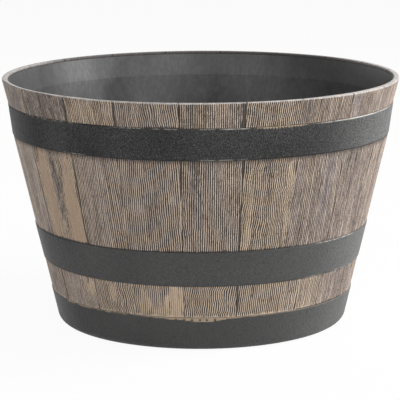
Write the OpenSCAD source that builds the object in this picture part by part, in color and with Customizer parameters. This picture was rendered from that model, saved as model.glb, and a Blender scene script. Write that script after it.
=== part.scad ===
// Round barrel planter: a tapered inner pot dressed in wood-effect staves.
// A base band, a middle band and a top band hold the staves to the pot.
// Origin: centre of the footprint, on the floor. +Z up, the front faces -Y.

/* [Overall] */
// Height of the planter
planter_h = 245; // [200:1:400]
// Outer diameter of the staves' face where it would reach the rim
rim_d = 395; // [330:1:520]
// Outer diameter of the staves' face where it would reach the floor
base_d = 286; // [230:1:320]
// Gap between pieces that are seated in each other
seat_gap = 0.2; // [0.1:0.05:0.3]

/* [Staves] */
// Number of staves round the pot
stave_count = 20; // [12:1:30]
// Thickness of a stave
stave_t = 3.4; // [3:0.1:6]
// Gap between two staves, measured at the rim
stave_gap = 0.8; // [0.5:0.1:3]
// Direction of the joint on the left of the first stave, counted from +X
first_joint = 264; // [0:1:359]
// How far the staves bow out at the lower edge of the top band
stave_swell = 1.9; // [0:0.1:5]
// How far the top band draws the staves in at its upper edge
stave_pinch = 0.8; // [0:0.1:1]
// Thickness of the lip that hooks over the pot's rim
lip_t = 2.6; // [2:0.1:6]
// Rounding of the rim's outer edge
rim_round_out = 1.4; // [0.4:0.1:2]
// Rounding of the rim's inner edge
rim_round_in = 0.9; // [0.4:0.1:1.8]

/* [Bands] */
// Distance from the rim down to the top band
top_band_drop = 24.5; // [12:0.5:40]
// Height of the top band
top_band_h = 30; // [15:0.5:45]
// How far the top band stands out from the staves
top_band_proud = 0.3; // [0.1:0.1:1]
// Height of the middle band's lower edge above the floor
middle_band_z = 66; // [45:0.5:75]
// Height of the middle band
middle_band_h = 34; // [15:0.5:45]
// How far the middle band stands out from the staves
middle_band_proud = 0.6; // [0.1:0.1:1]
// Thickness of the top and middle bands
band_t = 1.4; // [1.2:0.1:1.9]
// Width of the bevel along the edges of the bands
band_bevel = 0.4; // [0.1:0.1:0.9]

/* [Base band] */
// Height of the base band
base_band_h = 33.5; // [20:0.5:40]
// How far the base band stands out from the staves
base_band_proud = 0.7; // [0.1:0.1:1.2]
// Thickness of the base band's wall
base_band_t = 2.2; // [1.6:0.1:3]
// Rounding of the lower corner
base_round = 8.5; // [4:0.5:14]
// Height of the ledge that the staves stand on
ledge_h = 10; // [7:0.5:16]
// Thickness of the foot that is turned in under the pot
foot_t = 4; // [2:0.5:6]
// Inner diameter of the foot
foot_hole_d = 208; // [120:1:216]

/* [Inner pot] */
// Thickness of the pot's wall
pot_t = 2.2; // [1.6:0.1:4]
// Height of the underside of the pot's floor above the floor it stands on
pot_floor_z = 9; // [7.5:0.5:20]
// Thickness of the pot's floor
pot_floor_t = 4; // [3:0.5:8]
// Rounding inside, between the wall and the floor
pot_round = 7; // [2:0.5:15]

/* [Drain plugs] */
// Number of drain holes, each with its plug
plug_count = 4; // [3:1:6]
// Diameter of the circle that the drain holes lie on
drain_circle_d = 180; // [90:1:200]
// Direction of the first drain hole, counted from +X
first_drain = 45; // [0:1:359]
// Diameter of a plug's stem
plug_stem_d = 20; // [8:0.5:24]
// Diameter of a plug's flange
plug_flange_d = 30; // [26:0.5:40]
// Thickness of a plug's flange
plug_flange_t = 2.5; // [1.5:0.1:5]
// How far the stem reaches past the pot's floor
plug_reach = 2.5; // [1:0.5:3]
// Running gap round the stem and the flange
plug_gap = 0.4; // [0.3:0.1:1]
// Depth of the seat that the flange lies in
plug_seat_h = 1.5; // [0.5:0.1:2]
// Height of the plug's grip above its flange
grip_h = 8; // [5:0.5:11]
// Thickness of the plug's grip
grip_t = 3; // [1.5:0.5:6]

/* [Hidden] */
$fn = 96;
WOOD = "#8f7f70";
BAND = "#47484a";
POT = "#565758";
PLUG = "#2b2b2c";
// Number of straight pieces that make up a rounded corner of a section
corner_steps = 6;
// How far a cut reaches past the material that it goes through
cut_margin = 1;
rim_r = rim_d / 2;
base_r = base_d / 2;
foot_hole_r = foot_hole_d / 2;
rim_w = stave_t + seat_gap + pot_t;
top_band_top = planter_h - top_band_drop;
top_band_z = top_band_top - top_band_h;
middle_band_top = middle_band_z + middle_band_h;
pot_floor_top = pot_floor_z + pot_floor_t;
pot_top = planter_h - lip_t - seat_gap;
gap_angle = stave_gap / rim_r * 180 / PI;
// Relative widths of the staves, which are cut from boards of mixed width
STAVE_MIX = [18.3, 16.3, 17.9, 16.5, 19, 18, 19, 17.5, 18, 19,
             18, 18, 19, 18, 18.5, 17.5, 18, 19.3, 15.7, 18.5];

// Straight line from the foot to the rim
function chord_r(z) = base_r + (rim_r - base_r) * z / planter_h;

// Face of the staves: one long slope, drawn in under the top band, flared to the rim
function face_r(z) =
    let (r_low = chord_r(top_band_z) + stave_swell)
    let (r_high = chord_r(top_band_top) - stave_pinch)
    z < top_band_z ? base_r + (r_low - base_r) * z / top_band_z :
    z < top_band_top ? r_low + (r_high - r_low) * (z - top_band_z) / top_band_h :
    r_high + (rim_r - r_high) * (z - top_band_top) / top_band_drop;

// Back of the staves, outside and inside of the pot, outside and inside of the base band
function back_r(z) = face_r(z) - stave_t;
function pot_r(z) = back_r(z) - seat_gap;
function pot_inner_r(z) = pot_r(z) - pot_t;
function base_face_r(z) = face_r(z) + base_band_proud;
function base_inner_r(z) = base_face_r(z) - base_band_t;

// Points of a round corner in the profile plane, centred at [r, z]
function corner(r, z, radius, from, to) =
    [for (i = [0:corner_steps])
        let (a = from + (to - from) * i / corner_steps)
        [r + radius * cos(a), z + radius * sin(a)]];

// Centre radius of a rounding that touches a leaning wall, from the wall's radius at its centre
function touching_r(wall_r, radius, lean) = wall_r - radius / cos(lean);

// Lean of the walls below the top band
function lower_lean() = atan((face_r(top_band_z) - base_r) / top_band_z);

// Widths of the staves as angles that add up to a full turn
function mix_sum(n) = n == 0 ? 0 : mix_sum(n - 1) + STAVE_MIX[(n - 1) % len(STAVE_MIX)];
function joint_angle(n) = first_joint + 360 * mix_sum(n) / mix_sum(stave_count);

function stave_name(n) = str("stave_", n < 10 ? "0" : "", n);
function plug_name(n) = str("drain_plug_", n);

// Recess across a stave, from the top edge of a band down to its lower edge
function recess(z_low, z_high, proud) =
    let (depth = band_t - proud + seat_gap)
    let (high = z_high + seat_gap)
    let (low = z_low - seat_gap)
    [[face_r(high), high],
     [face_r(high) - depth, high],
     [face_r(low) - depth, low],
     [face_r(low), low]];

// Section of a stave: foot, back, lip over the pot, rounded rim, face with its recesses
function stave_section() =
    let (lip_z = planter_h - lip_t)
    let (lip_r = rim_r - rim_w)
    let (lean = atan((rim_r - face_r(top_band_top)) / top_band_drop))
    let (out_z = planter_h - rim_round_out)
    let (out_r = touching_r(face_r(out_z), rim_round_out, lean))
    let (foot_top = base_band_h + seat_gap)
    concat([[back_r(ledge_h), ledge_h],
            [back_r(top_band_z), top_band_z],
            [back_r(top_band_top), top_band_top],
            [back_r(lip_z), lip_z],
            [lip_r, lip_z]],
           corner(lip_r + rim_round_in, planter_h - rim_round_in, rim_round_in, 180, 90),
           corner(out_r, out_z, rim_round_out, 90, -lean),
           recess(top_band_z, top_band_top, top_band_proud),
           recess(middle_band_z, middle_band_top, middle_band_proud),
           [[face_r(foot_top), foot_top],
            [base_inner_r(foot_top) - seat_gap, foot_top],
            [base_inner_r(ledge_h) - seat_gap, ledge_h]]);

module stave(n) {
    start = joint_angle(n - 1) + gap_angle / 2;
    width = joint_angle(n) - joint_angle(n - 1) - gap_angle;
    color(WOOD) rotate([0, 0, start]) rotate_extrude(angle = width) polygon(stave_section());
}

// A flat hoop that follows the staves' face, bevelled along its outer edges
module band(z_low, z_high, proud) {
    low_r = face_r(z_low) + proud;
    high_r = face_r(z_high) + proud;
    section = [[low_r - band_t, z_low],
               [low_r - band_bevel, z_low],
               [low_r, z_low + band_bevel],
               [high_r, z_high - band_bevel],
               [high_r - band_bevel, z_high],
               [high_r - band_t, z_high]];
    color(BAND) rotate_extrude() polygon(section);
}

module top_band() {
    band(top_band_z, top_band_top, top_band_proud);
}

module middle_band() {
    band(middle_band_z, middle_band_top, middle_band_proud);
}

// The base band wraps the lower corner and turns in under the pot as a foot
module base_band() {
    top_r = base_face_r(base_band_h);
    round_r = touching_r(base_face_r(base_round), base_round, lower_lean());
    section = concat([[foot_hole_r, 0]],
                     corner(round_r, base_round, base_round, -90, -lower_lean()),
                     [[base_face_r(base_band_h - band_bevel), base_band_h - band_bevel],
                      [top_r - band_bevel, base_band_h],
                      [base_inner_r(base_band_h), base_band_h],
                      [base_inner_r(ledge_h), ledge_h],
                      [back_r(ledge_h), ledge_h],
                      [back_r(foot_t), foot_t],
                      [foot_hole_r, foot_t]]);
    color(BAND) rotate_extrude() polygon(section);
}

// Places a child at the drain hole with this number
module at_drain(n) {
    turn = first_drain + 360 * (n - 1) / plug_count;
    rotate([0, 0, turn]) translate([drain_circle_d / 2, 0, 0]) children();
}

// Hole for a plug's stem, with a seat for its flange at the top
module drain_hole() {
    hole_h = pot_floor_t + 2 * cut_margin;
    translate([0, 0, pot_floor_z - cut_margin])
        cylinder(h = hole_h, d = plug_stem_d + 2 * plug_gap);
    translate([0, 0, pot_floor_top - plug_seat_h])
        cylinder(h = plug_seat_h + cut_margin, d = plug_flange_d + 2 * plug_gap);
}

module inner_pot() {
    round_z = pot_floor_top + pot_round;
    round_r = touching_r(pot_inner_r(round_z), pot_round, lower_lean());
    // Level floor, the wall's foot down to the base band, and the wall behind the staves
    section = concat([[0, pot_floor_z],
                      [pot_inner_r(pot_floor_z), pot_floor_z],
                      [pot_inner_r(foot_t), foot_t],
                      [pot_r(foot_t), foot_t],
                      [pot_r(top_band_z), top_band_z],
                      [pot_r(top_band_top), top_band_top],
                      [pot_r(pot_top), pot_top],
                      [pot_inner_r(pot_top), pot_top],
                      [pot_inner_r(top_band_top), top_band_top],
                      [pot_inner_r(top_band_z), top_band_z]],
                     corner(round_r, round_z, pot_round, -lower_lean(), -90),
                     [[0, pot_floor_top]]);
    color(POT) difference() {
        rotate_extrude() polygon(section);
        for (n = [1:plug_count]) at_drain(n) drain_hole();
    }
}

// A plug: stem in the hole, flange in its seat, half-round grip to pull it out by
module drain_plug(n) {
    flange_z = pot_floor_top - plug_seat_h;
    flange_top = flange_z + plug_flange_t;
    stem_h = pot_floor_t - plug_seat_h + plug_reach;
    color(PLUG) at_drain(n) {
        translate([0, 0, flange_z - stem_h]) cylinder(h = stem_h, d = plug_stem_d);
        translate([0, 0, flange_z]) cylinder(h = plug_flange_t, d = plug_flange_d);
        intersection() {
            translate([0, grip_t / 2, flange_top])
                rotate([90, 0, 0]) cylinder(h = grip_t, r = grip_h);
            translate([-grip_h, -grip_t, flange_z])
                cube([2 * grip_h, 2 * grip_t, plug_flange_t + grip_h]);
        }
    }
}

inner_pot();
base_band();
middle_band();
top_band();
for (n = [1:stave_count]) stave(n);
for (n = [1:plug_count]) drain_plug(n);
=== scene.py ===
"""Barrel planter: carved and painted staves, pebbled bands, a smooth inner pot and rubber drain plugs.

The meshes are worked out in millimetres. Directions are degrees from +X, seen from above.
"""

import math
from typing import NamedTuple

import bpy
import numpy as np
from mathutils import Matrix, Vector

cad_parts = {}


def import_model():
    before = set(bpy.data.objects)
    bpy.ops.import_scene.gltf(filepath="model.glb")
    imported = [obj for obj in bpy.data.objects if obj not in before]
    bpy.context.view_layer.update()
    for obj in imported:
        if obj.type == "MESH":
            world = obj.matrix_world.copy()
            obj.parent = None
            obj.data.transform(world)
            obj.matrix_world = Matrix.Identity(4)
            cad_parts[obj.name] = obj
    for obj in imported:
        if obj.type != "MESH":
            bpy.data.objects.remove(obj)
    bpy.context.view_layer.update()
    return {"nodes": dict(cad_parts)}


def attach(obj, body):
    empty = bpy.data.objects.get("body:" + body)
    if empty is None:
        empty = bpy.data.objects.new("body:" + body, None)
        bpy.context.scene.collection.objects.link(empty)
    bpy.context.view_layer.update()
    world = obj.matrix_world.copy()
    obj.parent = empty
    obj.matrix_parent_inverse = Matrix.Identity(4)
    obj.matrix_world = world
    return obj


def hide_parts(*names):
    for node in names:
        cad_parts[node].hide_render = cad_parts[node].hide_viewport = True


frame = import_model()

# Sizes in millimetres, the same as in the CAD model
MM = 0.001
PLANTER_H = 245.0
RIM_R = 197.5
BASE_R = 143.0
SEAT_GAP = 0.2
STAVE_T = 3.4
FIRST_JOINT = 264.0
SWELL = 1.9
PINCH = 0.8
LIP_T = 2.6
ROUND_OUT = 1.4
ROUND_IN = 0.9
BAND_T = 1.4
BAND_BEVEL = 0.4
TOP_LOW = 190.5
TOP_HIGH = 220.5
TOP_PROUD = 0.3
MID_LOW = 66.0
MID_HIGH = 100.0
MID_PROUD = 0.6
BASE_H = 33.5
BASE_PROUD = 0.7
BASE_T = 2.2
BASE_ROUND = 8.5
LEDGE_H = 10.0
FOOT_T = 4.0
FOOT_HOLE_R = 104.0
POT_T = 2.2
STAVE_MIX = [
    *(18.3, 16.3, 17.9, 16.5, 19, 18, 19, 17.5, 18, 19),
    *(18, 18, 19, 18, 18.5, 17.5, 18, 19.3, 15.7, 18.5),
]
FRONT = 270.0

# The finish: distance between two carved lines, their depth, and the rounding of a stave's long edges
PITCH = 2.0
GROOVE_DEPTH = 0.48
EDGE_ROUND = 0.35
VISIBLE_GAP = 0.24

# Spacing of the mesh across and along the carved faces, and its columns next to a stave's long edges,
# counted from the edge at a middling radius
FINE_ACROSS = 0.36
FINE_ALONG = 0.8
EDGE_COLUMNS = [0, 0.1, 0.24, 0.42, 0.65, 0.95]
EDGE_ZONE = 1.3
MIDDLING_R = 175

# Cells of a noise's lattice before it repeats
LATTICE = 128

# Parts of a stave's section
HIDDEN, FACE, RIM, RECESS = 0, 1, 2, 3


def chord_r(z):
    """The straight line from the foot to the rim."""
    return BASE_R + (RIM_R - BASE_R) * z / PLANTER_H


R_LOW = chord_r(TOP_LOW) + SWELL
R_HIGH = chord_r(TOP_HIGH) - PINCH
LOWER_LEAN = math.degrees(math.atan((R_LOW - BASE_R) / TOP_LOW))
UPPER_LEAN = math.degrees(math.atan((RIM_R - R_HIGH) / (PLANTER_H - TOP_HIGH)))


def face_r(z):
    """Face of the staves at a height."""
    return np.interp(z, [0, TOP_LOW, TOP_HIGH, PLANTER_H], [BASE_R, R_LOW, R_HIGH, RIM_R])


def back_r(z):
    """Back of the staves at a height."""
    return face_r(z) - STAVE_T


def base_face_r(z):
    """Outside of the base band at a height."""
    return face_r(z) + BASE_PROUD


def base_inner_r(z):
    """Inside of the base band's wall at a height."""
    return base_face_r(z) - BASE_T


def srgb(r, g, b):
    """A colour as seen on a screen, 0 to 255, as the linear colour that a shader takes."""
    out = []
    for c in (r, g, b):
        c = c / 255
        out.append(c / 12.92 if c <= 0.04045 else ((c + 0.055) / 1.055) ** 2.4)
    return (*out, 1.0)


def noise(x, y, seed, wrap=LATTICE):
    """Smooth noise from -1 to 1 on a lattice of unit squares, which repeats after wrap cells along x."""
    table = np.random.default_rng(seed).uniform(-1, 1, (wrap, LATTICE))
    x, y = np.broadcast_arrays(np.asarray(x, float), np.asarray(y, float))
    xi, yi = np.floor(x).astype(int), np.floor(y).astype(int)
    fx, fy = x - xi, y - yi
    fx, fy = fx * fx * (3 - 2 * fx), fy * fy * (3 - 2 * fy)
    x0, x1, y0, y1 = xi % wrap, (xi + 1) % wrap, yi % LATTICE, (yi + 1) % LATTICE
    a, b, c, d = table[x0, y0], table[x1, y0], table[x0, y1], table[x1, y1]
    return (a * (1 - fx) + b * fx) * (1 - fy) + (c * (1 - fx) + d * fx) * fy


def round_noise(turn, z, size, radius, seed):
    """Noise with cells of this size in millimetres that closes on itself round the planter."""
    cells = round(2 * math.pi * radius / size)
    return noise(turn / 360 * cells, z / size, seed, cells)


def step(low, high, x):
    """0 below low, 1 above high, smooth between."""
    t = np.clip((x - low) / (high - low), 0, 1)
    return t * t * (3 - 2 * t)


def between(low, high, x, soft):
    """1 from low to high, 0 outside, with soft ends."""
    return step(low - soft, low + soft, x) * (1 - step(high - soft, high + soft, x))


def from_front(turn):
    """Direction counted from the front, to the viewer's right, from -180 to 180 degrees."""
    return (turn - FRONT + 180) % 360 - 180


# Meshes from a section that runs round the planter
SHARP_ANGLE = 62


def polar(r, turn, z):
    """Points from radius, direction and height."""
    a = np.radians(turn)
    return np.stack(np.broadcast_arrays(r * np.cos(a), r * np.sin(a), z), axis=-1)


def run(start, end, steps):
    """Points from start to end, without the end."""
    t = np.linspace(0, 1, steps, endpoint=False)[:, None]
    return np.array(start) * (1 - t) + np.array(end) * t


def arc(r, z, radius, start, end, steps):
    """Points of a round corner, with both ends."""
    a = np.radians(np.linspace(start, end, steps + 1))
    return np.stack([r + radius * np.cos(a), z + radius * np.sin(a)], axis=-1)


def faces_of(rows, columns, ring):
    """Corners of the quads between rows, which close on themselves, and columns, which do in a ring."""
    index = np.arange(rows * columns).reshape(rows, columns)
    if ring:
        index = np.hstack([index, index[:, :1]])
    below = np.roll(index, -1, axis=0)
    return np.stack([index[:, :-1], index[:, 1:], below[:, 1:], below[:, :-1]], axis=-1).reshape(-1, 4)


def build(name, points, ring, paint, place, node, material):
    """A closed mesh from points[along the section, along the turn], capped at both ends if it is no ring."""
    rows, columns, _ = points.shape
    quads = faces_of(rows, columns, ring)
    corners = [quads.reshape(-1)]
    starts = list(range(0, 4 * len(quads), 4))
    if not ring:
        index = np.arange(rows * columns).reshape(rows, columns)
        corners += [index[:, 0], index[::-1, -1]]
        starts += [4 * len(quads), 4 * len(quads) + rows]
    corners = np.concatenate(corners)
    mesh = bpy.data.meshes.new(name)
    mesh.vertices.add(rows * columns)
    mesh.vertices.foreach_set("co", (points.reshape(-1) * MM).astype(np.float32))
    mesh.loops.add(len(corners))
    mesh.loops.foreach_set("vertex_index", corners.astype(np.int32))
    mesh.polygons.add(len(starts))
    mesh.polygons.foreach_set("loop_start", np.array(starts, np.int32))
    mesh.polygons.foreach_set("use_smooth", np.ones(len(starts), bool))
    for key, kind, values in (("paint", "FLOAT_COLOR", paint), ("place", "FLOAT_VECTOR", place)):
        layer = mesh.attributes.new(key, kind, "POINT")
        socket = "color" if kind == "FLOAT_COLOR" else "vector"
        layer.data.foreach_set(socket, values.reshape(-1).astype(np.float32))
    mesh.update(calc_edges=True)
    mesh.validate()
    mesh.set_sharp_from_angle(angle=math.radians(SHARP_ANGLE))
    mesh.materials.append(material)
    ob = bpy.data.objects.new(name, mesh)
    bpy.context.scene.collection.objects.link(ob)
    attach(ob, "planter")
    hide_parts(node)


# Materials
class Graph:
    """Small helper to write a material's nodes."""

    def __init__(self, name):
        self.material = bpy.data.materials.new(name)
        self.material.use_nodes = True
        self.nodes = self.material.node_tree.nodes
        self.links = self.material.node_tree.links
        self.shader = self.nodes["Principled BSDF"]

    def put(self, socket, value):
        if isinstance(value, bpy.types.NodeSocket):
            self.links.new(value, socket)
        else:
            socket.default_value = value

    def add(self, kind, inputs=None, **settings):
        node = self.nodes.new(kind)
        for key, value in settings.items():
            setattr(node, key, value)
        for key, value in (inputs or {}).items():
            self.put(node.inputs[key], value)
        return node

    def math(self, operation, a, b=0.0, clamp=False):
        return self.add("ShaderNodeMath", {0: a, 1: b}, operation=operation, use_clamp=clamp).outputs[0]

    def mix(self, factor, a, b):
        node = self.add("ShaderNodeMix", data_type="RGBA")
        for key, value in (("Factor", factor), ("A", a), ("B", b)):
            self.put(node.inputs[key], value)
        return node.outputs["Result"]

    def remap(self, value, low, high, out_low=0.0, out_high=1.0):
        inputs = {"Value": value, "From Min": low, "From Max": high, "To Min": out_low, "To Max": out_high}
        return self.add("ShaderNodeMapRange", inputs).outputs["Result"]

    def stretch(self, vector, scale):
        return self.add("ShaderNodeMapping", {"Vector": vector, "Scale": scale}).outputs["Vector"]

    def noise(self, vector, scale, detail=3.0, roughness=0.5):
        inputs = {"Vector": vector, "Scale": scale, "Detail": detail, "Roughness": roughness}
        return self.add("ShaderNodeTexNoise", inputs).outputs["Fac"]

    def ramp(self, value, stops):
        node = self.add("ShaderNodeValToRGB", {"Fac": value})
        elements = node.color_ramp.elements
        while len(elements) < len(stops):
            elements.new(0.5)
        for element, (position, colour) in zip(elements, stops):
            element.position = position
            element.color = colour
        return node.outputs["Color"]

    def bump(self, height, distance, strength=1.0, normal=None):
        inputs = {"Height": height, "Distance": distance, "Strength": strength}
        if normal is not None:
            inputs["Normal"] = normal
        return self.add("ShaderNodeBump", inputs).outputs["Normal"]

    def painted(self):
        """The four values of the paint attribute, and the place on the surface in millimetres."""
        paint = self.add("ShaderNodeAttribute", attribute_name="paint")
        parts = self.add("ShaderNodeSeparateColor", {"Color": paint.outputs["Color"]})
        place = self.add("ShaderNodeAttribute", attribute_name="place")
        return (*parts.outputs[:3], paint.outputs["Alpha"], place.outputs["Vector"])


# Colours from the bottom of a carved groove to the top of a ridge
DEEP = 0.0
LOW_SIDE = 0.35
HIGH_SIDE = 0.7
TOP = 1.0
TAN_STOPS = [
    (DEEP, srgb(26, 23, 20)),
    (LOW_SIDE, srgb(75, 66, 58)),
    (HIGH_SIDE, srgb(150, 132, 113)),
    (TOP, srgb(222, 200, 174)),
]
MAUVE_STOPS = [
    (DEEP, srgb(27, 25, 25)),
    (LOW_SIDE, srgb(72, 66, 66)),
    (HIGH_SIDE, srgb(134, 122, 119)),
    (TOP, srgb(203, 188, 181)),
]
FLAT_PAINT = srgb(178, 151, 129)
BARE_RESIN = srgb(56, 54, 56)
PALE_PAINT_AND_HIGHLIGHT = [(0.0, srgb(142, 137, 133)), (0.5, srgb(190, 185, 181)), (1.0, srgb(216, 212, 208))]

# Resin of the bands: its darkest tone and its palest, which also paints the sheen, its clouds, pits in
# painted shade, pebble tops in painted light, and specks that are partly painted glints
IRON_DARK = srgb(34, 34, 34)
IRON_PALE_AND_SHEEN = srgb(104, 104, 103)
IRON_CLOUD = srgb(60, 62, 61)
IRON_PIT_SHADE = srgb(26, 26, 27)
IRON_PEBBLE_TOP_LIGHT = srgb(98, 100, 99)
IRON_SPECK_AND_GLINT = srgb(190, 192, 190)
# Pale worn edges, partly a painted highlight
IRON_WORN_HIGHLIGHT = srgb(222, 217, 210)
RUN_OVER_TAN = [(0.3, srgb(150, 132, 111)), (0.7, srgb(198, 178, 152))]

# Resin of the pot, and the rubber of the plugs
POT_DARK = srgb(68, 68, 68)
POT_LIGHT = srgb(88, 88, 88)
POT_MOTTLE = srgb(104, 104, 104)
POT_STREAK = srgb(48, 48, 48)
# Painted light on the far side of the pot's wall
POT_PAINTED_LIGHT = srgb(150, 151, 150)
RUBBER = srgb(38, 38, 39)
RUBBER_DUST = srgb(74, 72, 70)


def stave_material():
    """Tan or mauve paint on the ridges of the grain, dark resin in its grooves, and pale paint on the rim
    and edges, partly a painted highlight.
    """
    g = Graph("painted_stave")
    ridge, tone, bare, pale, place = g.painted()
    streak = g.noise(g.stretch(place, (1.2, 0.03, 1.0)), 1.0, 4.0, 0.6)
    speck = g.noise(g.stretch(place, (1.6, 0.5, 1.0)), 1.0, 2.0, 0.6)
    blotch = g.noise(g.stretch(place, (0.35, 0.025, 1.0)), 1.0, 4.0, 0.6)
    level = g.math("ADD", ridge, g.remap(streak, 0.3, 0.7, -0.09, 0.09))
    level = g.math("ADD", level, g.remap(speck, 0.3, 0.7, -0.05, 0.05))
    grit = g.noise(place, 1.1, 1.0, 0.5)
    level = g.math("ADD", level, g.remap(grit, 0.35, 0.65, -0.09, 0.09), clamp=True)
    hue = g.math("ADD", tone, g.remap(blotch, 0.35, 0.65, -0.25, 0.25), clamp=True)
    colour = g.mix(hue, g.ramp(level, MAUVE_STOPS), g.ramp(level, TAN_STOPS))
    flat = g.math("MULTIPLY", g.remap(tone, 1.0, 1.5, 0.0, 0.75), g.remap(level, 0.55, 0.8))
    colour = g.mix(flat, colour, FLAT_PAINT)
    colour = g.mix(bare, colour, BARE_RESIN)
    # Pale rim paint, partly a painted highlight
    colour = g.mix(pale, colour, g.ramp(g.remap(streak, 0.3, 0.7), PALE_PAINT_AND_HIGHLIGHT))
    g.put(g.shader.inputs["Base Color"], colour)
    g.put(g.shader.inputs["Roughness"], g.remap(speck, 0.3, 0.7, 0.55, 0.72))
    g.shader.inputs["Specular IOR Level"].default_value = 0.3
    height = g.math("ADD", g.math("MULTIPLY", streak, 0.7), g.math("MULTIPLY", speck, 0.4))
    g.put(g.shader.inputs["Normal"], g.bump(height, 0.0003, 0.6))
    return g.material


def band_material():
    """Iron grey resin with fine pebbles, pale specks, tan paint that ran over and pale worn edges, with
    painted light and shade: shaded pits, lit pebble tops, glints in the specks, highlights on the worn
    edges, sheen at the right and shade at the left.
    """
    g = Graph("pebbled_band")
    speck, tone, tan, worn_highlight, place = g.painted()
    fine = g.noise(place, 1.3, 3.0, 0.6)
    dots = g.noise(place, 1.5, 1.0, 0.5)
    grain = g.noise(place, 0.55, 2.0, 0.6)
    cloud = g.noise(place, 0.04, 3.0, 0.5)
    # The tone attribute brings painted shade at the left and painted sheen at the right into the resin's
    # grey
    colour = g.mix(tone, IRON_DARK, IRON_PALE_AND_SHEEN)
    colour = g.mix(g.remap(cloud, 0.35, 0.65, 0.0, 0.20), colour, IRON_CLOUD)
    # Painted shade in the hollows of the grain bump and painted light on the tops of the fine bump
    colour = g.mix(g.remap(grain, 0.30, 0.46, 0.55, 0.0), colour, IRON_PIT_SHADE)
    colour = g.mix(g.remap(fine, 0.56, 0.72, 0.0, 0.30), colour, IRON_PEBBLE_TOP_LIGHT)
    # Pale specks, partly painted glints
    dotted = g.math("MULTIPLY", speck, g.remap(dots, 0.54, 0.66))
    colour = g.mix(dotted, colour, IRON_SPECK_AND_GLINT)
    colour = g.mix(tan, colour, g.ramp(fine, RUN_OVER_TAN))
    # Pale worn edges, partly painted highlights
    colour = g.mix(worn_highlight, colour, IRON_WORN_HIGHLIGHT)
    g.put(g.shader.inputs["Base Color"], colour)
    g.put(g.shader.inputs["Roughness"], g.remap(fine, 0.3, 0.7, 0.45, 0.62))
    g.put(g.shader.inputs["Specular IOR Level"], g.remap(tone, 0.03, 0.30, 0.05, 0.28))
    g.put(g.shader.inputs["Normal"], g.bump(fine, 0.0004, 0.8, g.bump(grain, 0.0008, 0.8)))
    return g.material


# Light patches on the far side of the pot's wall, as painted light and reflection: strength, then place and
# size in metres
PAINTED_LIGHT_SPOTS = [
    (0.45, (-0.125, 0.140, 0.240), 0.05),
    (0.20, (-0.040, 0.180, 0.215), 0.05),
    (0.30, (0.070, 0.175, 0.220), 0.06),
    (0.20, (0.115, 0.140, 0.185), 0.05),
]


def pot_material():
    """Smooth dark grey resin with soft clouds from moulding, and painted light on the far side of its wall.
    """
    g = Graph("moulded_pot")
    place = g.add("ShaderNodeTexCoord").outputs["Object"]
    cloud = g.noise(g.stretch(place, (1.0, 1.0, 0.5)), 11.0, 3.0, 0.55)
    mottle = g.noise(place, 120.0, 3.0, 0.6)
    fine = g.noise(place, 900.0, 2.0, 0.5)
    streak = g.noise(g.stretch(place, (1.0, 1.0, 0.45)), 330.0, 2.0, 0.6)
    colour = g.mix(g.remap(cloud, 0.35, 0.65), POT_DARK, POT_LIGHT)
    colour = g.mix(g.remap(mottle, 0.4, 0.7, 0.0, 0.30), colour, POT_MOTTLE)
    # Painted light and reflection on the far wall; dust is the strength of each patch
    for dust, (x, y, z), size in PAINTED_LIGHT_SPOTS:
        inputs = {"Vector": place, "Location": (-x / size, -y / size, -z / size), "Scale": (1 / size,) * 3}
        moved = g.add("ShaderNodeMapping", inputs).outputs["Vector"]
        reach = g.add("ShaderNodeVectorMath", {0: moved}, operation="LENGTH").outputs["Value"]
        reach = g.math("ADD", reach, g.remap(cloud, 0.3, 0.7, 0.5, -0.5))
        colour = g.mix(g.remap(reach, 1.1, 0.2, 0.0, dust), colour, POT_PAINTED_LIGHT)
    colour = g.mix(g.remap(streak, 0.42, 0.62, 0.22, 0.0), colour, POT_STREAK)
    g.put(g.shader.inputs["Base Color"], colour)
    g.put(g.shader.inputs["Roughness"], g.remap(mottle, 0.3, 0.7, 0.36, 0.48))
    g.shader.inputs["Specular IOR Level"].default_value = 0.25
    bump = g.bump(mottle, 0.001, 0.2)
    g.put(g.shader.inputs["Normal"], g.bump(fine, 0.0002, 0.4, bump))
    return g.material


def rubber_material():
    """Matt black rubber with a little dust."""
    g = Graph("plug_rubber")
    place = g.add("ShaderNodeTexCoord").outputs["Object"]
    fine = g.noise(place, 1500.0, 2.0, 0.5)
    dust = g.noise(place, 60.0, 3.0, 0.6)
    colour = g.mix(g.remap(dust, 0.45, 0.75, 0.0, 0.5), RUBBER, RUBBER_DUST)
    g.put(g.shader.inputs["Base Color"], colour)
    g.put(g.shader.inputs["Roughness"], g.remap(dust, 0.3, 0.7, 0.6, 0.8))
    g.put(g.shader.inputs["Normal"], g.bump(fine, 0.0001, 0.6))
    return g.material


# Carving and paint of the staves
class Look(NamedTuple):
    """How a stave is carved and painted, in millimetres."""

    lines: float  # strength of the carved lines
    wave: float  # how far they bend sideways in long waves
    ripple: float  # and in short ones
    slant: float  # how far they lean to the right for each millimetre up
    tone: float  # 0 mauve grey, 1 tan, above 1 flat reddish tan
    dark: tuple = (0, 0)  # width of the unpainted strip along the left and right edge
    # The pale edge line is a raised painted edge, partly a painted highlight where it catches the light
    pale: tuple = (0, 0)  # strength of the pale line along the left and right edge
    level: float = 0.92  # how light the ridges are


class Patch(NamedTuple):
    """A place on a stave that was cut or painted otherwise, in millimetres."""

    stave: int
    across: float  # -1 at the stave's left edge, 1 at its right edge
    up: float
    half_w: float
    half_h: float
    cut: float = 1.0  # share of the carving that is left
    tone: float = 0.0  # shift towards tan
    bare: float = 0.0  # share of the paint that is missing


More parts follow.
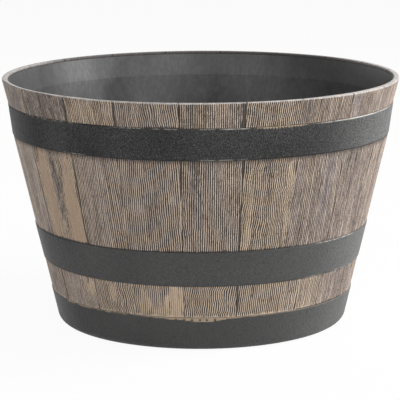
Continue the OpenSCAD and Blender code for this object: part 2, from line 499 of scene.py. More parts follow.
# Between the bands
MIDDLE_LOOK = {
    1: Look(1.06, 0.7, 0.35, 0.0, 0.56, (0, 1.4), (0, 0), 0.98),
    2: Look(1.1, 1.5, 0.85, 0.03, 0.68, (0, 0), (0.9, 0.8), 0.97),
    3: Look(0.75, 1.4, 0.35, 0.02, 0.52, (0, 0.9), (0, 0), 0.88),
    4: Look(0.6, 1.0, 0.2, 0.0, 0.40, (0, 0.6), (0.6, 0), 0.86),
    5: Look(0.6, 1.0, 0.2, 0.0, 0.40, (0, 0), (0, 0), 0.86),
    6: Look(0.8, 2.0, 0.4, 0.0, 0.60, (0, 1.6), (0, 0)),
    7: Look(1.0, 1.0, 0.3, 0.0, 0.50, (1.0, 0), (0, 0.7)),
    8: Look(0.6, 2.5, 0.6, 0.03, 0.65, (0, 0), (0.6, 0)),
    9: Look(0.9, 1.5, 0.3, 0.0, 0.45, (0, 2.4), (0, 0)),
    10: Look(0.9, 2.0, 0.8, -0.04, 0.58, (1.6, 0), (0, 0.8)),
    11: Look(0.6, 1.8, 0.4, 0.0, 0.70, (0, 0), (0.5, 0)),
    12: Look(1.0, 1.0, 0.4, 0.0, 0.50, (0, 1.8), (0, 0)),
    13: Look(0.9, 2.2, 0.8, 0.05, 0.60, (0.8, 0), (0, 0)),
    14: Look(0.7, 1.5, 0.4, 0.02, 0.45, (0, 0), (0.7, 0.7)),
    15: Look(1.0, 0.8, 0.2, 0.0, 0.55, (0, 2.6), (0, 0)),
    16: Look(0.7, 1.8, 0.5, -0.02, 0.65, (1.2, 0), (0, 0)),
    17: Look(0.4, 1.5, 0.4, 0.0, 0.40, (0, 1.0), (0, 0)),
    18: Look(0.6, 1.5, 0.5, 0.0, 0.85, (0, 0.8), (0, 0), 0.98),
    19: Look(0.85, 0.9, 0.25, -0.01, 0.55, (0, 0), (0.6, 0.6), 0.98),
    20: Look(1.2, 0.9, 0.4, 0.0, 0.56, (0, 0), (0, 0.9), 1.0),
}
# Above the top band, where it differs. Its ridges are darker than between the bands, as painted shade
# towards the top
HIGH_LOOK = {
    1: Look(1.0, 0.5, 0.12, 0.0, 0.60, (1.0, 4.4), (0, 0)),
    2: Look(1.0, 1.5, 0.8, 0.05, 0.66, (0, 0), (0.9, 0.9)),
    3: Look(0.75, 1.5, 0.5, 0.03, 0.60, (0, 0), (0, 0.8), 0.84),
    4: Look(0.5, 1.0, 0.4, 0.0, 0.52, (0.5, 0), (0, 0), 0.84),
    17: Look(0.4, 1.5, 0.4, 0.0, 0.38, (0, 0), (0, 0.8), 0.74),
    18: Look(0.55, 2.0, 0.6, -0.06, 0.5, (1.0, 2.0), (0, 0), 0.82),
    19: Look(0.7, 1.8, 0.9, -0.06, 0.78, (0, 0), (0.6, 0.8)),
    20: Look(0.95, 1.2, 0.8, -0.08, 0.56, (3.2, 0), (0, 0.9)),
}
# Below the middle band, where it differs. Its ridges are lighter than between the bands, as painted light
# bounced up from the floor
LOW_LOOK = {
    1: Look(1.15, 2.0, 1.0, 0.05, 0.70, (0, 0), (0, 0), 1.1),
    2: Look(1.08, 1.0, 0.5, 0.04, 0.70, (1.4, 0), (0.6, 0), 1.05),
    3: Look(0.7, 1.5, 0.4, 0.02, 0.66, (0, 0), (0.6, 0.8), 1.0),
    18: Look(0.6, 1.5, 0.6, -0.05, 0.50, (0, 0.4), (0, 0), 1.08),
    19: Look(0.8, 1.5, 0.7, -0.06, 0.66, (0, 0), (0.5, 0.6), 1.08),
    20: Look(1.0, 1.0, 0.4, 0.0, 0.62, (0, 0), (0, 0.3), 1.1),
}
PATCHES = [
    Patch(1, -0.45, 145, 12, 60, tone=-0.2),
    Patch(1, -0.98, 176, 1.5, 24, bare=0.85),
    Patch(2, -0.75, 145, 4, 48, cut=0.55, tone=0.2),
    Patch(2, 0.84, 145, 4, 52, cut=0.5, tone=0.25),
    Patch(3, -0.8, 145, 5.5, 60, cut=0.8, tone=-0.25, bare=0.14),
    Patch(3, -0.75, 232, 5.5, 14, cut=0.6, tone=-0.3, bare=0.3),
    Patch(3, 0.45, 138, 7, 58, cut=0.7, tone=-0.45, bare=0.12),
    Patch(4, -0.7, 232, 6, 14, cut=0.5, tone=-0.3, bare=0.25),
    Patch(8, -0.3, 60, 10, 40, cut=0.15, tone=0.2),
    Patch(11, 0.2, 120, 14, 70, cut=0.15, tone=0.2),
    Patch(16, 0.3, 160, 12, 50, cut=0.15, tone=0.15),
    Patch(18, -0.55, 142, 10, 62, cut=0.3, tone=0.6),
    Patch(18, 0.0, 155, 5, 32, cut=1.3, tone=-0.6, bare=0.3),
    Patch(18, 0.62, 122, 9, 62, cut=0.15, tone=0.6),
    Patch(18, 0.74, 56, 5, 11, cut=0.4, tone=0.5),
    Patch(18, -0.3, 50, 12, 20, cut=0.7, tone=-0.2),
    Patch(18, 0.0, 233, 40, 20, cut=1.0, tone=-0.1, bare=0.3),
    Patch(19, -0.05, 54, 5, 10, cut=0.5, tone=0.35),
    Patch(19, 0.1, 150, 7, 45, cut=0.7, tone=-0.2),
    Patch(20, -0.59, 142, 7, 8, cut=0.5),
    Patch(20, 0.71, 150, 4, 5, cut=0.5, tone=0.1),
    Patch(20, 0.66, 50, 8, 30, cut=0.25, tone=0.55),
    Patch(20, 0.1, 38, 9, 12, cut=0.5, tone=0.3),
    Patch(20, -0.54, 48, 5, 12, cut=0.5, tone=0.45),
    Patch(20, -0.1, 50, 8, 25, cut=0.8, tone=-0.2),
    Patch(20, -0.75, 232, 5, 14, tone=-0.3, bare=0.15),
]


class PaintLine(NamedTuple):
    """A stretch of a band's edge, in degrees from the front, with the width of its line in millimetres."""

    edge: float
    start: float
    end: float
    width: float
    amount: float = 1.0


# Where the paint of the staves stops short above a band, and by how much it does everywhere; the dark strip
# left there is partly painted shade along the band's edge
UNPAINTED_AND_SHADED_EVERYWHERE = 0.35
UNPAINTED_AND_SHADED = [
    PaintLine(TOP_HIGH, -16, -6, 1.9),
    PaintLine(MID_HIGH, -70, -38, 1.6),
    PaintLine(MID_HIGH, -17, 34, 1.4),
    PaintLine(BASE_H, 36, 72, 1.6),
    PaintLine(BASE_H, -52, -24, 0.9),
]


def look_at(n, z):
    """The look of a stave above, between or below the two upper bands."""
    if z > TOP_LOW:
        return HIGH_LOOK.get(n, MIDDLE_LOOK[n])
    if z < MID_HIGH:
        return LOW_LOOK.get(n, MIDDLE_LOOK[n])
    return MIDDLE_LOOK[n]


# Height about which slanting lines turn, and how unevenly the lines run: small trembling everywhere, and
# wandering where the carving is weaker than full
SLANT_MIDDLE = 120
RIPPLE_UNEVEN = 0.8
TREMBLE = 0.16
WANDER = 1.6
FULL_CARVING = 1.02
# Where across a line its wall starts and its flat top ends, as shares of its height in a plain wave
WALL_START = 0.12
WALL_END = 0.72
THICK_UNEVEN = 0.12
# Below the first of these heights above the base band the grooves are filled with paint
FILLED_H = 0.6
OPEN_H = 2.8
# How far below the top band the ridges are darkened as painted shade under the band, and by how much
PAINTED_SHADE_H = 5.5
PAINTED_SHADE = 0.3
# Share of the paint missing in the strips along the joints and bands, inside the rim and out of sight; the
# strips along the bands are partly painted shade
BARE_STRIP = 0.85
BARE_INSIDE = 0.95
BARE_HIDDEN = 0.9
# Patches that lack at least this share of their paint lack it evenly, and the others in small spots
EVENLY_BARE = 0.5


def first_seed(n):
    """The first of a stave's own seeds."""
    return 1000 + 20 * n


def carve(n, look, u, z, half):
    """Ridge (1) or groove (0), tone and missing paint, at u from the stave's middle and z up."""
    seed = first_seed(n)

    def uneven(across, up, number):
        """Noise with cells of this size in millimetres across and up the stave."""
        return noise(u / across, z / up, seed + number)

    rippled = look.ripple * (1 + RIPPLE_UNEVEN * uneven(30, 40, 16))
    bend = look.wave * noise(u / 24 + 3, z / 70, seed) + rippled * uneven(11, 6, 1)
    bend = bend + TREMBLE * uneven(2.6, 4, 12)
    bend = bend + WANDER * max(0, FULL_CARVING - look.lines) * uneven(1.9, 22, 19)
    phase = (u - look.slant * (z - SLANT_MIDDLE) + bend) / PITCH
    ridge_no, groove_no = np.floor(phase), np.round(phase)
    thick = THICK_UNEVEN * uneven(3.5, 12, 20)
    crest = step(WALL_START + thick, WALL_END + thick, 0.5 - 0.5 * np.cos(2 * np.pi * phase))
    # The depth changes along each groove, more where the carving is weak, and from place to place
    dash = noise(groove_no * 1.71, z / 9, seed + 3)
    patchy = 0.5 + 0.5 * uneven(14, 45, 4)
    cut = look.lines * (0.95 + (0.15 + 0.5 * max(0, 1 - look.lines)) * dash) * (0.88 + 0.24 * patchy)
    cut = cut * (0.1 + 0.9 * step(BASE_H + FILLED_H, BASE_H + OPEN_H, z + 0.9 * uneven(5, 9, 13)))
    tone = look.tone + 0.14 * uneven(11, 60, 8) + 0.16 * noise(ridge_no * 1.3, z / 20, seed + 9)
    bare, rough, level = np.zeros_like(cut), np.ones_like(cut), np.full_like(cut, look.level)
    for patch in PATCHES:
        if patch.stave == n:
            reach = np.hypot((u - patch.across * half) / patch.half_w, (z - patch.up) / patch.half_h)
            ragged = 0.40 * uneven(2.2, 9, 5) + 0.18 * uneven(1.0, 3, 14)
            inside = 1 - step(0.75, 1.15, reach + ragged)
            kept = 1 - (1 - patch.cut) * inside
            cut, rough = cut * kept, rough * kept
            tone = tone + patch.tone * inside
            missing = patch.bare * inside
            if patch.bare < EVENLY_BARE:
                missing = 1.5 * missing * step(-0.35, 0.55, uneven(0.8, 2.2, 18))
            bare = np.maximum(bare, missing)
            level = level - 0.08 * (1 - patch.cut) * inside
    # Each ridge has its own shade, and smooth places have long faint strokes instead of flecks
    shade = 0.10 * noise(ridge_no * 1.37, z / 25, seed + 6) + 0.10 * noise(ridge_no * 2.9, z / 5, seed + 7)
    shade = shade + 0.09 * uneven(6, 90, 17)
    fleck = 0.25 * step(0.5, 0.9, uneven(0.9, 3.2, 10))
    smooth = 0.07 * (1 - rough) * uneven(1.4, 30, 15)
    ridge = np.clip(level + smooth + rough * (shade - fleck), 0, 1) * (1 - np.clip(cut, 0, 1) * (1 - crest))
    # Painted shade: the ridges are darker just below the top band
    ridge = ridge * (1 - PAINTED_SHADE * step(TOP_LOW - PAINTED_SHADE_H, TOP_LOW - 0.5, z) * (z < TOP_LOW))
    return ridge, tone, bare


def edge_lines(look, seed, ridge, tone, bare, z, left, right):
    """Adds the unpainted strips and pale lines along a stave's long edges; the pale lines are raised painted
    edges, partly painted highlights.
    """
    for side, near in enumerate((left, right)):
        wander = noise(0 * z, z / 13, seed + 11 + side)
        width = look.dark[side] * (1 + 0.35 * wander)
        if look.dark[side]:
            bare = np.maximum(bare, BARE_STRIP * (1 - step(0.8, 1.15, near / width)))
        pale = look.pale[side] * between(0.35, 1.35, near, 0.2) * (0.75 + 0.35 * wander)
        ridge = np.maximum(ridge, pale)
        tone = tone + 0.5 * pale
    return ridge, tone, bare


def unpainted_and_shaded_width(turn, edge):
    """How far above a band's edge the paint starts, in millimetres; the dark strip below is partly painted
    shade.
    """
    a = from_front(turn)
    width = UNPAINTED_AND_SHADED_EVERYWHERE + 0.0 * a
    for line in UNPAINTED_AND_SHADED:
        if line.edge == edge:
            width = np.maximum(width, line.width * between(line.start, line.end, a, 3))
    return width * (1 + 0.5 * round_noise(turn, 0 * turn, 2.3, 170, 61))


# Height from which the rim's paint is pale at the front, and how weak it is on the far side
PALE_RIM_Z = 244.3
FAR_RIM_WEAKER = 0.8


def rim_pale(turn, across, z):
    """Pale paint on the rim, partly a painted highlight: the inner half on the left, the outer edge in the
    middle, all on the right.
    """
    a = from_front(turn)
    front = 1 - FAR_RIM_WEAKER * step(112, 138, np.abs(a))
    ragged = round_noise(turn, 0 * turn, 3.0, RIM_R, 71)
    inner_limit = 1.1 - 0.65 * between(-33, 36, a, 6)
    outer_limit = 0.45 * between(-80, -44, a, 5)
    over_width = step(outer_limit - 0.1, outer_limit, across)
    over_width = over_width * (1 - step(inner_limit - 0.1, inner_limit, across))
    # It reaches further down the face at the right, as a painted highlight, and at both ends
    lowest = PALE_RIM_Z - 0.4 * between(-36, 4, a, 3) - 0.9 * step(18, 50, a)
    lowest = lowest - 1.6 * step(72, 95, np.abs(a)) + 0.2 * ragged
    return front * over_width * step(lowest - 0.3, lowest + 0.3, z)


def stave_section():
    """The section's runs of points, each with its part: foot, face, recesses, rim, lip and back."""
    foot = BASE_H + SEAT_GAP
    lip_z = PLANTER_H - LIP_T
    lip_r = RIM_R - STAVE_T - SEAT_GAP - POT_T
    out_z = PLANTER_H - ROUND_OUT
    out_r = face_r(out_z) - ROUND_OUT / math.cos(math.radians(UPPER_LEAN))
    outer = arc(out_r, out_z, ROUND_OUT, -UPPER_LEAN, 90, 8)
    inner = arc(lip_r + ROUND_IN, PLANTER_H - ROUND_IN, ROUND_IN, 90, 180, 6)

    def at_face(z):
        return (face_r(z), z)

    def face(low, high):
        start, end = at_face(low), at_face(high)
        return (FACE, run(start, end, round((high - low) / FINE_ALONG)))

    def recess(low, high, proud):
        depth = BAND_T - proud + SEAT_GAP
        a, b = low - SEAT_GAP, high + SEAT_GAP
        floor_a, floor_b = (face_r(a) - depth, a), (face_r(b) - depth, b)
        return [
            (RECESS, run(at_face(a), floor_a, 2)),
            (RECESS, run(floor_a, floor_b, 4)),
            (RECESS, run(floor_b, at_face(b), 2)),
        ]

    return [
        (HIDDEN, run((base_inner_r(LEDGE_H) - SEAT_GAP, LEDGE_H), (base_inner_r(foot) - SEAT_GAP, foot), 4)),
        (HIDDEN, run((base_inner_r(foot) - SEAT_GAP, foot), at_face(foot), 3)),
        face(foot, MID_LOW - SEAT_GAP),
        *recess(MID_LOW, MID_HIGH, MID_PROUD),
        face(MID_HIGH + SEAT_GAP, TOP_LOW - SEAT_GAP),
        *recess(TOP_LOW, TOP_HIGH, TOP_PROUD),
        (FACE, run(at_face(TOP_HIGH + SEAT_GAP), outer[0], 30)),
        (RIM, outer[:-1]),
        (RIM, run(outer[-1], inner[0], 6)),
        (RIM, inner[:-1]),
        (RIM, run(inner[-1], (lip_r, lip_z), 2)),
        (HIDDEN, run((lip_r, lip_z), (back_r(lip_z), lip_z), 2)),
        (HIDDEN, run((back_r(lip_z), lip_z), (back_r(TOP_HIGH), TOP_HIGH), 3)),
        (HIDDEN, run((back_r(TOP_HIGH), TOP_HIGH), (back_r(TOP_LOW), TOP_LOW), 3)),
        (HIDDEN, run((back_r(TOP_LOW), TOP_LOW), (back_r(LEDGE_H), LEDGE_H), 12)),
        (HIDDEN, run((back_r(LEDGE_H), LEDGE_H), (base_inner_r(LEDGE_H) - SEAT_GAP, LEDGE_H), 2)),
    ]


# The carving fades out between these distances below the rim
PLAIN_RIM_START = 5.5
PLAIN_RIM_END = 1.5
ROUNDING_UNEVEN = 0.25
TICK_W = 0.7


def stave(n, material):
    """One carved stave, which stands where its CAD node stands."""
    total = sum(STAVE_MIX)
    gap = math.degrees(VISIBLE_GAP / RIM_R)
    start = FIRST_JOINT + 360 * sum(STAVE_MIX[: n - 1]) / total + gap / 2
    end = FIRST_JOINT + 360 * sum(STAVE_MIX[:n]) / total - gap / 2
    width = math.radians(end - start) * MIDDLING_R
    edge = np.array(EDGE_COLUMNS)
    inner = np.linspace(EDGE_ZONE, width - EDGE_ZONE, round((width - 2 * EDGE_ZONE) / FINE_ACROSS))
    turn = start + (end - start) * np.concatenate([edge, inner, width - edge[::-1]])[None, :] / width

    runs = stave_section()
    loop = np.concatenate([points for _, points in runs])
    kind = np.concatenate([[part] * len(points) for part, points in runs])[:, None]
    r, z = loop[:, :1], loop[:, 1:]
    u = np.radians(turn - (start + end) / 2) * r
    half = np.radians((end - start) / 2) * r
    left, right = half + u, half - u

    ridge, tone, bare = np.zeros_like(u), np.zeros_like(u), np.zeros_like(u)
    for low, high in ((0, MID_LOW), (MID_LOW, TOP_LOW), (TOP_LOW, PLANTER_H + 1)):
        rows = np.flatnonzero((z[:, 0] >= low) & (z[:, 0] < high))
        look = look_at(n, (low + high) / 2)
        zz = z[rows] + 0 * u[rows]
        cut = carve(n, look, u[rows], zz, half[rows])
        edged = edge_lines(look, first_seed(n), *cut, zz, left[rows], right[rows])
        ridge[rows], tone[rows], bare[rows] = edged

    on_face, on_rim = kind == FACE, kind == RIM
    # Dark strips above the bands: unpainted resin, partly painted shade along the band's edge
    for band_edge in (BASE_H, MID_HIGH, TOP_HIGH):
        short = unpainted_and_shaded_width(turn, band_edge)
        above = z - band_edge
        bare = np.maximum(bare, np.where(above > 0, BARE_STRIP * (1 - step(0.75, 1.25, above / short)), 0))
    near_rim = step(PLANTER_H - PLAIN_RIM_START, PLANTER_H - PLAIN_RIM_END, z)
    bare = np.where(on_rim & (r < RIM_R - ROUND_OUT), BARE_INSIDE, bare)
    bare = np.where((kind == HIDDEN) | (kind == RECESS), BARE_HIDDEN, bare)
    groove = GROOVE_DEPTH * (1 - ridge) * (1 - near_rim) * on_face
    # The long edges are rounded, a little unevenly
    edge_r = EDGE_ROUND * (1 + ROUNDING_UNEVEN * noise(np.full_like(z, n), z / 9, 55))
    bite = np.clip(edge_r - np.minimum(left, right), 0, edge_r)
    rounding = (edge_r - np.sqrt(edge_r**2 - bite**2)) * (on_face | on_rim)
    lip_r = RIM_R - STAVE_T - SEAT_GAP - POT_T
    across = np.where(on_rim, np.clip((RIM_R - r) / (RIM_R - lip_r), 0, 1), 0)
    pale = rim_pale(turn, across, z) * (on_face | on_rim)
    pale = pale * (0.86 + 0.14 * noise(u / 0.9, z / 0.9, 90 + n))
    # Dark ticks where the joints cross the rim
    pale = pale * (1 - 0.9 * (np.minimum(left, right) < TICK_W))

    points = polar(r - np.where(on_face, groove + rounding, 0), turn, z - np.where(on_rim, rounding, 0))
    paint = np.stack(np.broadcast_arrays(ridge, tone, bare, np.clip(pale, 0, 1)), axis=-1)
    place = np.stack(np.broadcast_arrays(u, z, n * 37.0), axis=-1)
    node = f"stave_{n:02d}"
    build(f"carved_{node}", points, False, paint, place, node, material)


# Bands
# Parts of a band's section
PLAIN, PEBBLED = 0, 1

# Pale worn lines along the edges of the two upper bands, partly painted highlights where the edges catch the
# light
WORN_AND_HIGHLIT = [
    PaintLine(TOP_HIGH, 34, 74, 0.6, 0.6),
    PaintLine(TOP_HIGH, 46, 60, 1.0, 0.95),
    PaintLine(TOP_HIGH, -59, -38, 0.6, 0.35),
    PaintLine(TOP_HIGH, -24, 5, 0.6, 0.4),
    PaintLine(TOP_HIGH, 6, 13, 0.8, 0.75),
    PaintLine(TOP_LOW, -43, -36, 0.7, 0.5),
    PaintLine(TOP_LOW, -1, 12, 0.6, 0.4),
    PaintLine(MID_HIGH, 42, 62, 0.8, 0.55),
    PaintLine(MID_LOW, 39, 46, 0.7, 0.45),
    PaintLine(MID_LOW, 53, 65, 0.7, 0.5),
]
# Bare pits in the tan paint that ran over the base band's edge, and dark ticks across it, in degrees
# from the front, and how far below the edge the pits lie
RUN_OVER_PITS = [-9.2, -6.3, -3.5, -0.6, 1.9, 4.8]
RUN_OVER_TICKS = [-44.2, -40.1]
PIT_DEPTH = 1.9
# How far down the tan paint runs in the middle, and a little left of it, and the radius that its waves
# are measured at
DEEPEST_DIP = 3.6
SECOND_DIP = 0.8
RUN_OVER_R = 150
# Length of the breaks in the worn lines
BREAK_W = 1.9
# Distance between two scallops on the top band, and how far down they reach at most
SCALLOP_W = 3.1
SCALLOP_H = 2.1


def worn_and_highlit_edge(turn, z, radius, seed):
    """Pale lines on a band's edges, partly rubbed on and partly painted highlights, uneven and broken where
    they are weak.
    """
    a = from_front(turn)
    uneven = 0.5 + 0.5 * round_noise(turn, 0 * turn, BREAK_W, radius, seed)
    amount = 0.0 * a + 0.0 * z
    for line in WORN_AND_HIGHLIT:
        on_edge = 1 - step(0.75 * line.width, 1.25 * line.width, np.abs(z - line.edge))
        strength = line.amount * between(line.start, line.end, a, 1 + 0.12 * (line.end - line.start))
        strength = strength * (line.amount**2 + (1 - line.amount**2) * step(0.25, 0.6, uneven))
        amount = np.maximum(amount, on_edge * strength)
    return amount


def scallops(turn, z):
    """Tan paint in small scallops over the top band's upper edge, right of the middle."""
    a = from_front(turn)
    depth = 0.55 + 0.45 * np.cos(np.radians(a) * R_HIGH * 2 * math.pi / SCALLOP_W)
    depth = depth * between(16, 30, a, 2) * (0.8 + 0.4 * round_noise(turn, 0 * turn, 4, R_HIGH, 321))
    return step(-0.2, 0.2, z - (TOP_HIGH - SCALLOP_H * depth)) * (depth > 0.05)


def run_over(turn, z):
    """Tan paint that runs over the base band's upper edge, deepest in the middle, with bare pits."""
    a = from_front(turn)
    # Millimetres for each degree
    scale = math.radians(1) * float(base_face_r(BASE_H))
    dip = DEEPEST_DIP * np.exp(-(((a - 0.3) / 8) ** 2)) + SECOND_DIP * np.exp(-(((a + 11) / 6) ** 2))
    dip = dip + 0.25 * (1 + round_noise(turn, 0 * turn, 3.3, RUN_OVER_R, 301)) * np.exp(-((a / 30) ** 2))
    dip = dip + 0.6 * between(-60, -30, a, 5) * (1 + round_noise(turn, 0 * turn, 5, RUN_OVER_R, 303))
    paint = step(-0.25, 0.25, z - (BASE_H - dip))
    for at in RUN_OVER_PITS:
        paint = paint * step(0.9, 1.5, np.hypot((a - at) * scale, z - (BASE_H - PIT_DEPTH)))
    for at in RUN_OVER_TICKS:
        paint = paint * step(0.3, 0.7, np.abs(a - at) * scale)
    return paint


def no_paint(turn, z):
    """No paint on the band."""
    return 0.0 * turn + 0.0 * z


def hoop_section(low, high, proud):
    """Section of the top and middle bands, and which of its points are pebbled."""
    low_r, high_r = face_r(low) + proud, face_r(high) + proud
    b = BAND_BEVEL
    return [
        (PLAIN, run((low_r - BAND_T, low), (low_r - b, low), 2)),
        (PLAIN, run((low_r - b, low), (low_r, low + b), 3)),
        (PEBBLED, run((low_r, low + b), (high_r, high - b), round((high - low) / FINE_ALONG))),
        (PLAIN, run((high_r, high - b), (high_r - b, high), 3)),
        (PLAIN, run((high_r - b, high), (high_r - BAND_T, high), 2)),
        (PLAIN, run((high_r - BAND_T, high), (low_r - BAND_T, low), 6)),
    ]


def base_section():
    """Section of the base band, which wraps the lower corner and turns in as the foot."""
    round_r = base_face_r(BASE_ROUND) - BASE_ROUND / math.cos(math.radians(LOWER_LEAN))
    corner = arc(round_r, BASE_ROUND, BASE_ROUND, -90, -LOWER_LEAN, 16)
    b = BAND_BEVEL
    top_r = float(base_face_r(BASE_H))
    under_bevel = (float(base_face_r(BASE_H - b)), BASE_H - b)
    return [
        (PLAIN, run((FOOT_HOLE_R, 0), corner[0], 8)),
        (PLAIN, corner[:3]),
        (PEBBLED, corner[3:-1]),
        (PEBBLED, run(corner[-1], under_bevel, 28)),
        (PLAIN, run(under_bevel, (top_r - b, BASE_H), 3)),
        (PLAIN, run((top_r - b, BASE_H), (float(base_inner_r(BASE_H)), BASE_H), 2)),
        (PLAIN, run((float(base_inner_r(BASE_H)), BASE_H), (float(base_inner_r(LEDGE_H)), LEDGE_H), 4)),
        (PLAIN, run((float(base_inner_r(LEDGE_H)), LEDGE_H), (back_r(LEDGE_H), LEDGE_H), 2)),
        (PLAIN, run((back_r(LEDGE_H), LEDGE_H), (back_r(FOOT_T), FOOT_T), 2)),
        (PLAIN, run((back_r(FOOT_T), FOOT_T), (FOOT_HOLE_R, FOOT_T), 6)),
        (PLAIN, run((FOOT_HOLE_R, FOOT_T), (FOOT_HOLE_R, 0), 2)),
    ]


# Sizes of the pebbles, of the coarser ones under them and of the slow swells, and the height of both
PEBBLE = 1.25
COARSE_PEBBLE = 2.6
SLOW_SWELL = 38
PEBBLE_H = 0.13
SLOW_SWELL_H = 0.10
# Directions from the front: where the pale specks grow more as painted glints, where the painted sheen of
# the lit right side is fullest, where that ends round the back, and the place at the left in painted shade
MORE_GLINTING_SPECKS = (38, 62)
SHEEN_FULLEST = 88
SHEEN_ENDS = (95, 150)
PAINTED_SHADE_PLACE = (-75, -42)


def band(node, runs, columns, seed, tone, sheen, specks, tan, material):
    """A hoop with a pebbled outer face, which stands where its CAD node stands.

    tone is its grey, sheen the direction where the painted sheen of the lit right side starts and by how
    much, specks the share of pale specks, and tan the paint that lies over it.
    """
    loop = np.concatenate([points for _, points in runs])
    pebbled = np.concatenate([[flag] * len(points) for flag, points in runs])[:, None]
    turn = (np.arange(columns) * 360 / columns)[None, :]
    r, z = loop[:, :1], loop[:, 1:]
    radius = float(r.max())
    small = round_noise(turn, z, PEBBLE, radius, seed)
    grains = 0.6 * small + 0.4 * round_noise(turn, z, COARSE_PEBBLE, radius, seed + 1)
    slow = round_noise(turn, z, SLOW_SWELL, radius, seed + 2)
    points = polar(r + pebbled * (PEBBLE_H * grains + SLOW_SWELL_H * slow), turn, z)
    a = from_front(turn)
    # Pale specks, partly painted glints that grow towards the lit right side
    speck = specks * (0.9 + 0.3 * slow + 1.8 * step(*MORE_GLINTING_SPECKS, a)) * pebbled
    worn_highlight = worn_and_highlit_edge(turn, z, radius, seed + 3)
    # Painted sheen: the resin grows paler towards the lit right side and fades round the back
    painted_sheen = step(sheen[0], SHEEN_FULLEST, a) * (1 - step(*SHEEN_ENDS, a))
    # Painted shade: the resin is darker at the left, away from the light
    shade = tone * (1 - 0.45 * between(*PAINTED_SHADE_PLACE, a, 12)) + sheen[1] * painted_sheen
    shade = shade + 0.04 * slow + 0.045 * grains
    paint = np.stack(np.broadcast_arrays(speck, shade, tan(turn, z), worn_highlight), axis=-1)
    build(f"pebbled_{node}", points, True, paint, points, node, material)


wood = stave_material()
resin = band_material()
for number in MIDDLE_LOOK:
    stave(number, wood)
band(
    "top_band",
    hoop_section(TOP_LOW, TOP_HIGH, TOP_PROUD),
    columns=1600,
    seed=500,
    tone=0.11,
    sheen=(30, 0.75),
    specks=0.21,
    tan=scallops,
    material=resin,
)
band(
    "middle_band",
    hoop_section(MID_LOW, MID_HIGH, MID_PROUD),
    columns=1400,
    seed=520,
    tone=0.36,
    sheen=(12, 0.7),
    specks=0.12,
    tan=no_paint,
    material=resin,
)
band(
    "base_band",
    base_section(),
    columns=1280,
    seed=540,
    tone=0.40,
    sheen=(15, 0.6),
    specks=0.03,
    tan=run_over,
    material=resin,
)


def dress(node, material):
    """Gives a CAD node its finish."""
    ob = frame["nodes"][node]
    ob.data.materials.clear()
    ob.data.materials.append(material)


dress("inner_pot", pot_material())
rubber = rubber_material()
for node_name in frame["nodes"]:
    if node_name.startswith("drain_plug"):
        dress(node_name, rubber)

# Floor, light and camera, in metres and watts
FLOOR_HALF = 12.0
FLOOR_GREY = (0.86, 0.86, 0.86, 1)
FLOOR_WHITE_SHARE = 0.94
WHITE = (1, 1, 1, 1)
WORLD_LIGHT = 0.15
LENS_MM = 186.04
SENSOR_MM = 36.0
CAMERA_AT = (0, -2.04402, 0.51788)
CAMERA_AIM = (-0.001098, 0, 0.117645)
CAMERA_ROLL = -0.266


def floor():
    """A pale floor that shows nearly white to the camera and keeps the planter's shadow."""
    mesh = bpy.data.meshes.new("studio_floor")
    s = FLOOR_HALF
    mesh.from_pydata([(-s, -s, 0), (s, -s, 0), (s, s, 0), (-s, s, 0)], [], [(0, 1, 2, 3)])
    g = Graph("studio_floor")
    g.shader.inputs["Base Color"].default_value = FLOOR_GREY
    g.shader.inputs["Roughness"].default_value = 0.9
    path = g.add("ShaderNodeLightPath")
    white = g.add("ShaderNodeEmission", {"Color": WHITE, "Strength": 1.0})
    seen = g.math("MAXIMUM", path.outputs["Is Camera Ray"], path.outputs["Is Glossy Ray"])
    seen = g.math("MAXIMUM", seen, path.outputs["Is Transmission Ray"])
    share = g.math("MULTIPLY", seen, FLOOR_WHITE_SHARE)
    mixed = g.add("ShaderNodeMixShader", {0: share, 1: g.shader.outputs[0], 2: white.outputs[0]})
    g.links.new(mixed.outputs[0], g.nodes["Material Output"].inputs["Surface"])
    mesh.materials.append(g.material)
    ob = bpy.data.objects.new("studio_floor", mesh)
    bpy.context.scene.collection.objects.link(ob)


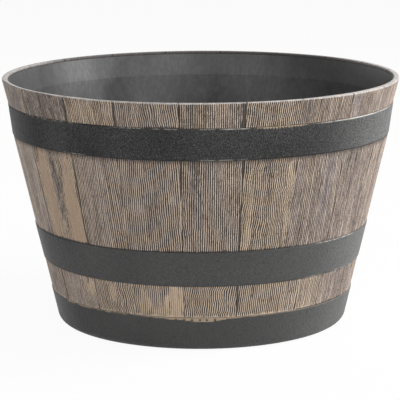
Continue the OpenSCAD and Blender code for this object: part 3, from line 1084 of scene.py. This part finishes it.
def world():
    """A plain white studio, dimmer where it lights than where it is seen."""
    w = bpy.data.worlds.new("studio")
    bpy.context.scene.world = w
    w.use_nodes = True
    nodes, links = w.node_tree.nodes, w.node_tree.links
    back = nodes["Background"]
    back.inputs["Color"].default_value = WHITE
    back.inputs["Strength"].default_value = WORLD_LIGHT
    seen = nodes.new("ShaderNodeBackground")
    seen.inputs["Color"].default_value = WHITE
    seen.inputs["Strength"].default_value = 1.0
    path = nodes.new("ShaderNodeLightPath")
    factor = path.outputs["Is Camera Ray"]
    for other in ("Is Glossy Ray", "Is Transmission Ray"):
        either = nodes.new("ShaderNodeMath")
        either.operation = "MAXIMUM"
        links.new(factor, either.inputs[0])
        links.new(path.outputs[other], either.inputs[1])
        factor = either.outputs[0]
    mix = nodes.new("ShaderNodeMixShader")
    links.new(factor, mix.inputs[0])
    links.new(back.outputs[0], mix.inputs[1])
    links.new(seen.outputs[0], mix.inputs[2])
    links.new(mix.outputs[0], nodes["World Output"].inputs["Surface"])


def lamp(name, at, aim, size, power):
    """A soft box that the camera doesn't see."""
    data = bpy.data.lights.new(name, "AREA")
    data.shape = "RECTANGLE"
    data.size, data.size_y = size
    data.energy = power
    ob = bpy.data.objects.new(name, data)
    ob.location = at
    ob.rotation_euler = (Vector(aim) - Vector(at)).to_track_quat("-Z", "Y").to_euler()
    ob.visible_camera = False
    bpy.context.scene.collection.objects.link(ob)


def camera():
    """The camera, 2.04 m in front of the planter's axis and rolled by a quarter of a degree."""
    data = bpy.data.cameras.new("camera")
    data.lens = LENS_MM
    data.sensor_width = SENSOR_MM
    data.clip_end = 50
    at = Vector(CAMERA_AT)
    aim = Vector(CAMERA_AIM)
    forward = (aim - at).normalized()
    right = forward.cross(Vector((0, 0, 1))).normalized()
    up = right.cross(forward)
    roll = math.radians(CAMERA_ROLL)
    right, up = right * math.cos(roll) + up * math.sin(roll), up * math.cos(roll) - right * math.sin(roll)
    ob = bpy.data.objects.new("camera", data)
    rows = [(right[k], up[k], -forward[k], at[k]) for k in range(3)]
    ob.matrix_world = Matrix([*rows, (0, 0, 0, 1)])
    bpy.context.scene.collection.objects.link(ob)
    bpy.context.scene.camera = ob


floor()
world()
lamp("key_right_high", (1.5, 0.0, 1.5), (0, 0, 0.15), (1.2, 1.2), 36)
lamp("key_right", (1.75, -0.25, 0.75), (0, 0, 0.15), (1.3, 1.1), 7)
lamp("fill_left", (-1.5, -1.7, 0.8), (0, 0, 0.12), (1.2, 1.2), 3.5)
lamp("fill_front", (0.3, -2.2, 2.0), (0, 0, 0.1), (2.0, 1.2), 25)
lamp("back_left", (-1.8, 1.2, 0.2), (0, 0, 0.1), (1.2, 0.4), 6)
lamp("back_top", (0.0, 1.8, 1.8), (0, 0, 0.15), (1.6, 1.2), 10)
camera()
bpy.context.scene.view_settings.view_transform = "Standard"
